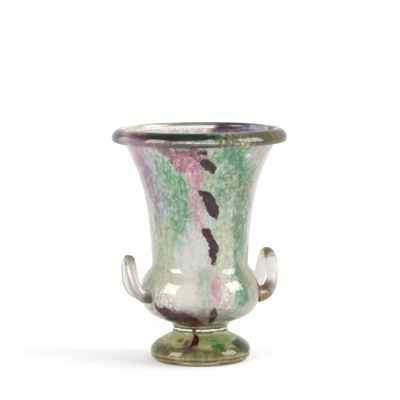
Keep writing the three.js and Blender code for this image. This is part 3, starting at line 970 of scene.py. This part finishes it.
class VASE_OT_blow_bowl(bpy.types.Operator):
    """Blow the clear casing and the powder coloured layer inside it"""

    bl_idname = "vase.blow_bowl"
    bl_label = "Blow the bowl"

    def execute(self, context):
        bowl, lip = context.scene.vase_bowl, context.scene.vase_lip
        palette = context.scene.vase_colours
        outside = bowl_outline(bowl)
        layer_depth = bowl.casing + bowl.seam
        base = bowl.neck_height
        layer_base = base + bowl.casing_floor + bowl.seam
        floor = layer_base + bowl.bowl_floor
        outer = to_lip(outside, lip)
        inner = between(to_lip(moved_in(outside, bowl.casing), lip), base + bowl.casing_floor)
        clear = clear_casing_glass("clear_casing_glass", palette.clear)
        casing = turned([
            (outer, 0),
            ([outer[-1], inner[-1]], 1),
            (inner[::-1], 1),
            ([inner[0], Vector((0, inner[0].y))], 1),
            ([Vector((0, base)), outer[0]], 1),
        ])
        place(
            "bowl_casing_glass", hand_blown(casing), [clear, fused_seam()], "bowl_casing"
        )
        back = between(to_lip(moved_in(outside, layer_depth), lip), layer_base)
        bore = to_lip(moved_in(outside, layer_depth + bowl.layer), lip)
        bore = between(bore, floor + bowl.floor_dish)
        dish = rounded(bore[0], Vector((bore[0].x - bowl.floor_dish, floor)), Vector((0, floor)))
        layer = turned([
            (back, 1),
            ([back[-1], bore[-1]], 1),
            (bore[::-1], 0),
            (dish, 0),
            ([Vector((0, layer_base)), back[0]], 1),
        ])
        coloured = powder_coloured_glass(wall_at(bore))
        place(
            "bowl_colour_glass", hand_blown(layer), [coloured, fused_seam()],
            "bowl_colour_layer",
        )
        return {"FINISHED"}


class VASE_OT_roll_lip(bpy.types.Operator):
    """Roll the lip over the edge, with its streaks under a clear coat"""

    bl_idname = "vase.roll_lip"
    bl_label = "Roll the lip"

    def execute(self, context):
        lip, palette = context.scene.vase_lip, context.scene.vase_colours
        section, middle = oval(lip)
        core, _ = oval(lip, lip.coat)

        def ring_radius(height):
            return middle.x / MM

        glass = glass_with_stains_and_glints("fire_polished_lip_glass", palette.clear, COAT_PATCHES, ring_radius)
        bead = hand_blown(turned([(section, 0)]))
        place("rolled_lip_glass", bead, [glass], "rolled_lip")
        film = streaked_film(
            "streaked_lip_colour", palette.frost, LIP_PATCHES, ring_radius,
            clear=0.97, dense=0.45, drift=1.2,
        )
        streaks = hand_blown(turned([(core, 0)]))
        place("rolled_lip_streaks", streaks, [film], "rolled_lip")
        return {"FINISHED"}


class VASE_OT_blow_foot(bpy.types.Operator):
    """Blow the spreading foot: clear glass over a coloured core"""

    bl_idname = "vase.blow_foot"
    bl_label = "Blow the foot"

    def execute(self, context):
        foot, bowl = context.scene.vase_foot, context.scene.vase_bowl
        palette = context.scene.vase_colours
        outside = foot_outline(foot, bowl)
        inner_top = bowl.neck_height - bowl.seam / 2 - foot.casing_top
        ring_in = foot.ring_inner - foot.ring_splay
        inner = between(moved_in(outside, foot.casing), foot.ledge, inner_top)
        casing = turned([
            (outside, 0),
            ([outside[-1], Vector((0, outside[-1].y))], 1),
            ([Vector((0, inner_top)), *inner[::-1]], 1),
            ([inner[0], Vector((ring_in, foot.ledge))], 1),
            ([Vector((ring_in, foot.ledge)), Vector((foot.ring_inner, 0))], 2),
            ([Vector((foot.ring_inner, 0)), outside[0]], 2),
        ])
        clear = clear_casing_glass("fire_polished_foot_glass", palette.straw)
        place(
            "foot_casing_glass", hand_blown(casing), [clear, fused_seam(), ground_foot_ring()],
            "foot_casing",
        )
        core_low = foot.ledge + bowl.seam
        core_high = inner_top - bowl.seam
        face = between(moved_in(outside, foot.casing + bowl.seam), core_low, core_high)
        rim = Vector((ring_in, core_low))
        hollow = rounded(Vector((0, foot.hollow)), Vector((ring_in / 2, foot.hollow)), rim)
        core = turned([
            (hollow, 1),
            ([rim, face[0]], 2),
            (face, 0),
            ([face[-1], Vector((0, core_high))], 2),
        ])
        film = streaked_film(
            "streaked_foot_colour", palette.sage, FOOT_PATCHES, wall_at(face),
            clear=0.35, dense=0.35, drift=2.5, bands=FOOT_BANDS,
        )
        under = glass_with_stains_and_glints("foot_underside_glass", palette.straw)
        place(
            "foot_colour_glass", hand_blown(core), [film, under, fused_seam()],
            "foot_colour_core",
        )
        return {"FINISHED"}


def loop_centres(handles, bowl, side):
    """Centres of a handle's rod, evenly spaced: a squared arch that hooks upwards off the belly."""
    size = {
        name: getattr(handles, f"{side}_{name}")
        for name in (
            "half_width", "squareness", "root_lift", "reach", "sag", "standoff", "height", "top_fall"
        )
    }
    root = Vector((bowl.belly_radius - handles.root_depth, bowl.belly_height + size["root_lift"]))
    top = Vector((bowl.belly_radius + size["standoff"], root.y + size["height"]))
    leave = root + Vector((size["reach"], -size["sag"]))
    arrive = top - Vector((0, size["top_fall"]))
    bearing = handles.off_axis if side == "right" else math.pi - handles.off_axis
    turn = Matrix.Rotation(bearing, 3, "Z")
    power = 2 / size["squareness"]
    dense = []
    for i in range(ROD_WALK + 1):
        walked = math.pi * i / ROD_WALK
        across, up = math.cos(walked), min(max(math.sin(walked), 0), 1) ** power
        down = 1 - up
        rise = down**3 * root + 3 * down**2 * up * leave + 3 * down * up**2 * arrive + up**3 * top
        sideways = size["half_width"] * math.copysign(abs(across) ** power, across)
        dense.append(turn @ Vector((rise.x, sideways, rise.y)))
    travelled = [0.0]
    for before, after in zip(dense, dense[1:]):
        travelled.append(travelled[-1] + (after - before).length)
    centres, at = [], 0
    for i in range(ROD_STEPS + 1):
        wanted = travelled[-1] * i / ROD_STEPS
        while at < len(travelled) - 1 and travelled[at] < wanted:
            at += 1
        centres.append(dense[at])
    return centres


def drawn_rod(centres, rod, root, taper):
    """A round rod pulled along its centres, thickest at both ends."""
    last = len(centres) - 1
    along = [
        (centres[min(i + 1, last)] - centres[max(i - 1, 0)]).normalized() for i in range(len(centres))
    ]
    radii = [rod + (root - rod) * abs(2 * i / last - 1) ** taper for i in range(len(centres))]
    bm = bmesh.new()
    facing = Vector((0, 0, 1)).rotation_difference(along[0]).to_matrix().to_4x4()
    start = Matrix.Translation(centres[0]) @ facing
    ring = bmesh.ops.create_circle(bm, segments=ROD_SIDES, radius=radii[0], cap_ends=True, matrix=start)
    edges = list({edge for vert in ring["verts"] for edge in vert.link_edges})
    for i in range(1, len(centres)):
        made = bmesh.ops.extrude_edge_only(bm, edges=edges)["geom"]
        verts = [g for g in made if isinstance(g, bmesh.types.BMVert)]
        edges = [g for g in made if isinstance(g, bmesh.types.BMEdge)]
        bmesh.ops.translate(bm, vec=centres[i] - centres[i - 1], verts=verts)
        turn = along[i - 1].rotation_difference(along[i]).to_matrix()
        bmesh.ops.rotate(bm, cent=centres[i], matrix=turn, verts=verts)
        size = radii[i] / radii[i - 1]
        centred = Matrix.Translation(-centres[i])
        bmesh.ops.scale(bm, vec=(size, size, size), space=centred, verts=verts)
    bmesh.ops.contextual_create(bm, geom=edges)
    bmesh.ops.recalc_face_normals(bm, faces=bm.faces)
    return bm


def seated_on_bowl(bm, bowl):
    """Cuts a rod's ends to the outside of the bowl. The cut faces take the second material."""
    outside = moved_in(bowl_outline(bowl), SEAT_DEPTH)
    cutter = hand_blown(turned([
        ([Vector((0, outside[0].y)), *outside], 1),
        ([outside[-1], Vector((0, outside[-1].y))], 1),
    ]))
    bmesh.ops.recalc_face_normals(cutter, faces=cutter.faces)
    pair = []
    for name, source in (("rod", bm), ("bowl_shape", cutter)):
        mesh = bpy.data.meshes.new(name)
        source.to_mesh(mesh)
        source.free()
        # Two empty slots, so that the cut keeps the number of the second on its faces.
        for _ in range(2):
            mesh.materials.append(None)
        pair.append(bpy.data.objects.new(name, mesh))
        bpy.context.scene.collection.objects.link(pair[-1])
    cut = pair[0].modifiers.new("seat", "BOOLEAN")
    cut.operation = "DIFFERENCE"
    cut.solver = "EXACT"
    cut.material_mode = "INDEX"
    cut.object = pair[1]
    seen = pair[0].evaluated_get(bpy.context.evaluated_depsgraph_get())
    result = bmesh.new()
    result.from_mesh(seen.to_mesh())
    for leftover in pair:
        mesh = leftover.data
        bpy.data.objects.remove(leftover)
        bpy.data.meshes.remove(mesh)
    bmesh.ops.remove_doubles(result, verts=result.verts, dist=MERGE)
    return result


class VASE_OT_draw_handles(bpy.types.Operator):
    """Draw the two looped handles and press their roots on the belly"""

    bl_idname = "vase.draw_handles"
    bl_label = "Draw the handles"

    def execute(self, context):
        handles, bowl = context.scene.vase_handles, context.scene.vase_bowl
        for side, patches in (("right", RIGHT_PATCHES), ("left", LEFT_STAINS_AND_GLINT)):
            centres = loop_centres(handles, bowl, side)
            root = getattr(handles, f"{side}_root")
            rod = drawn_rod(centres, handles.rod, root, handles.root_taper)
            loop = seated_on_bowl(rod, bowl)
            reach = max(centre.xy.length for centre in centres) / MM
            glass = glass_with_stains_and_glints(
                f"drawn_{side}_handle_glass", context.scene.vase_colours.smoky, patches, rod_at(reach),
                waves=0.1, strength=0.85,
            )
            place(f"handle_{side}_glass", loop, [glass, fused_seam()], f"handle_{side}")
        return {"FINISHED"}


def broken_shard(corners, points, depth, seed):
    """A shard bent to the wall: an outline bitten ragged, cut into a fine grid, laid at a depth and
    thickened. The noise would start from the clock, so each shard's seed is set."""
    middle = sum(z for _, z in corners) / len(corners)
    degree = radius_at(points, middle * MM) / MM * math.radians(1)
    bm = bmesh.new()
    bm.faces.new([bm.verts.new((b * degree, z, 0)) for b, z in corners])
    bmesh.ops.subdivide_edges(bm, edges=bm.edges, cuts=SHARD_CUTS)
    noise.seed_set(seed)
    for vert in bm.verts:
        bites = [noise.noise_vector(vert.co / size) * reach for size, reach in SHARD_BITES]
        push = sum(bites, Vector((0, 0, 0)))
        vert.co += Vector((push.x, push.y, 0))
    for axis in (0, 1):
        low = min(v.co[axis] for v in bm.verts)
        high = max(v.co[axis] for v in bm.verts)
        across = Vector((axis == 0, axis == 1, 0))
        for i in range(1, math.ceil((high - low) / SHARD_GRID)):
            bmesh.ops.bisect_plane(
                bm, geom=bm.verts[:] + bm.edges[:] + bm.faces[:],
                plane_co=across * (low + i * SHARD_GRID), plane_no=across, dist=SHARD_SNAP,
            )
    bmesh.ops.triangulate(bm, faces=[f for f in bm.faces if len(f.verts) > 4])
    copied = bmesh.ops.extrude_face_region(bm, geom=bm.faces[:], use_keep_orig=True)["geom"]
    deep = {g for g in copied if isinstance(g, bmesh.types.BMVert)}
    for verts, under in (
        (set(bm.verts) - deep, moved_in(points, depth)),
        (deep, moved_in(points, depth + SHARD_THICKNESS * MM)),
    ):
        for vert in verts:
            plan = math.radians(FRONT + vert.co.x / degree)
            height = vert.co.y * MM
            radius = radius_at(under, height)
            vert.co = Vector((radius * math.cos(plan), radius * math.sin(plan), height))
    return bm


class VASE_OT_lay_shards(bpy.types.Operator):
    """Lay the dark shards between the casing and the colour layer, and one in the stem"""

    bl_idname = "vase.lay_shards"
    bl_label = "Lay the shards"

    def execute(self, context):
        bowl, foot = context.scene.vase_bowl, context.scene.vase_foot
        glass = aubergine_shard_glass()
        bowl_wall, foot_wall = bowl_outline(bowl), foot_outline(foot, bowl)
        rows = [
            (f"{name}_glass", name, corners, bowl_wall, bowl.casing + bowl.seam)
            for name, corners in SHARDS.items()
        ]
        rows.append(("shard_stem_glass", "shard_stem", STEM_SHARD, foot_wall, foot.casing))
        neck = foot_wall + bowl_wall[1:]
        rows.append(("shard_stem_tail", "shard_stem", NECK_SHARD, neck, bowl.casing / 2))
        for seed, (name, node, corners, wall, depth) in enumerate(rows, 1):
            shard = hand_blown(broken_shard(corners, wall, depth, seed))
            place(name, shard, [glass], node)
        return {"FINISHED"}


def window(tree, toward, bearing, rise, half_width, half_height):
    """1 where a direction looks into a tall softbox, and 0 elsewhere. All four are in degrees."""
    plan, up = math.radians(FRONT + bearing), math.radians(rise)
    ahead = Vector((math.cos(plan) * math.cos(up), math.sin(plan) * math.cos(up), math.sin(up)))
    side = Vector((-math.sin(plan), math.cos(plan), 0))
    mask = None
    for axis, half in ((side, half_width), (ahead.cross(side), half_height)):
        away = add(tree, "VectorMath", (toward, axis), out="Value", operation="DOT_PRODUCT")
        edge = math.sin(math.radians(half))
        inside = add(tree, "Math", (away, 0.0, edge), operation="COMPARE")
        mask = inside if mask is None else add(tree, "Math", (mask, inside), operation="MULTIPLY")
    facing = add(tree, "VectorMath", (toward, ahead), out="Value", operation="DOT_PRODUCT")
    front = add(tree, "Math", (facing, 0.0), operation="GREATER_THAN")
    return add(tree, "Math", (mask, front), operation="MULTIPLY")


class VASE_OT_set_stage(bpy.types.Operator):
    """Lay the table top, set the lights and place the camera"""

    bl_idname = "vase.set_stage"
    bl_label = "Set the stage"

    def execute(self, context):
        scene, stage = context.scene, context.scene.vase_stage
        bm = bmesh.new()
        bmesh.ops.create_grid(
            bm, x_segments=FLOOR_STEPS, y_segments=FLOOR_STEPS, size=stage.floor / 2
        )
        bmesh.ops.translate(bm, vec=(0, 0, -stage.drop), verts=bm.verts)
        mesh = bpy.data.meshes.new("paper")
        bm.to_mesh(mesh)
        bm.free()
        mesh.materials.append(frosted_acrylic_table())
        paper = bpy.data.objects.new("paper", mesh)
        scene.collection.objects.link(paper)

        world = bpy.data.worlds.new("studio")
        world.use_nodes = True
        tree = world.node_tree
        ahead = math.radians(FRONT)
        toward = add(tree, "TexCoord", out="Generated")
        facing = add(tree, "VectorMath", (
            toward, (math.cos(ahead), math.sin(ahead), 0),
        ), out="Value", operation="DOT_PRODUCT")
        aligned = add(tree, "Math", (facing,), operation="ABSOLUTE")
        backdrop = 1.05
        screen = add(tree, "MapRange", {
            "Value": aligned, "From Min": 0.35, "From Max": 0.9, "To Min": 0.68, "To Max": backdrop,
        }, interpolation_type="SMOOTHSTEP")
        height = add(tree, "SeparateXYZ", (toward,), out="Z")
        ceiling = add(tree, "MapRange", {
            "Value": height, "From Min": 0.2, "From Max": 0.7, "To Min": 1.0, "To Max": 0.75,
        }, interpolation_type="SMOOTHSTEP")
        level = add(tree, "Math", (height,), operation="ABSOLUTE")
        horizon = add(tree, "MapRange", {
            "Value": level, "From Min": 0.05, "From Max": 0.17, "To Min": 1.0, "To Max": 0.0,
        }, interpolation_type="SMOOTHSTEP")
        screen = add(tree, "Mix", {FACTOR: horizon, NUMBER_A: screen, NUMBER_B: backdrop})
        glow = add(tree, "Math", (screen, ceiling), operation="MULTIPLY")
        for softbox in SOFTBOXES:
            lit = window(tree, toward, *softbox)
            glow = add(tree, "Math", (lit, stage.softbox, glow), operation="MULTIPLY_ADD")
        tree.links.new(glow, tree.nodes["Background"].inputs["Strength"])
        tree.nodes["Background"].inputs["Color"].default_value = (1, 1, 1, 1)
        scene.world = world
        sun = bpy.data.lights.new("high_back", "SUN")
        sun.energy = stage.lamp
        sun.angle = stage.lamp_size
        lamp = bpy.data.objects.new("high_back", sun)
        # The gloss shows the softboxes only, because this lamp would lie on the foot as a grey patch.
        lamp.visible_glossy = False
        scene.collection.objects.link(lamp)
        lamp.rotation_euler = (-LAMP_FROM).to_track_quat("-Z", "Y").to_euler()

        camera = bpy.data.cameras.new("camera")
        camera.lens = stage.lens
        camera.sensor_width = stage.film
        camera.shift_y = stage.shift
        eye = bpy.data.objects.new("camera", camera)
        scene.collection.objects.link(eye)
        along, up = math.cos(stage.elevation), math.sin(stage.elevation)
        back = Vector((math.cos(ahead) * along, math.sin(ahead) * along, up))
        eye.location = Vector((0, 0, stage.target)) + back * stage.distance
        look = (-back).to_track_quat("-Z", "Y").to_matrix().to_4x4()
        eye.rotation_euler = (look @ Matrix.Rotation(stage.roll, 4, "Z")).to_euler()
        scene.camera = eye
        scene.view_settings.view_transform = "Standard"
        return {"FINISHED"}


OPERATORS = (
    VASE_OT_blow_bowl, VASE_OT_roll_lip, VASE_OT_blow_foot, VASE_OT_draw_handles, VASE_OT_lay_shards,
    VASE_OT_set_stage,
)


class VASE_PT_maker(bpy.types.Panel):
    """Lists the vase's operators and sizes"""

    bl_idname = "VASE_PT_maker"
    bl_label = "Footed Glass Vase"
    bl_space_type = "VIEW_3D"
    bl_region_type = "UI"
    bl_category = "Vase"

    def draw(self, context):
        for made in OPERATORS:
            self.layout.operator(made.bl_idname)
        for name, group in SETTINGS.items():
            box = self.layout.box()
            box.label(text=group.__name__)
            for size in group.__annotations__:
                box.prop(getattr(context.scene, name), size)


def register():
    for name, group in SETTINGS.items():
        bpy.utils.register_class(group)
        setattr(bpy.types.Scene, name, bpy.props.PointerProperty(type=group))
    for made in (*OPERATORS, VASE_PT_maker):
        bpy.utils.register_class(made)


def unregister():
    for made in (VASE_PT_maker, *reversed(OPERATORS)):
        bpy.utils.unregister_class(made)
    for name, group in reversed(SETTINGS.items()):
        delattr(bpy.types.Scene, name)
        bpy.utils.unregister_class(group)


def main():
    """Registers the add-on and makes the vase and its stage."""
    register()
    for made in OPERATORS:
        section, name = made.bl_idname.split(".")
        getattr(getattr(bpy.ops, section), name)()


if __name__ == "__main__":
    main()
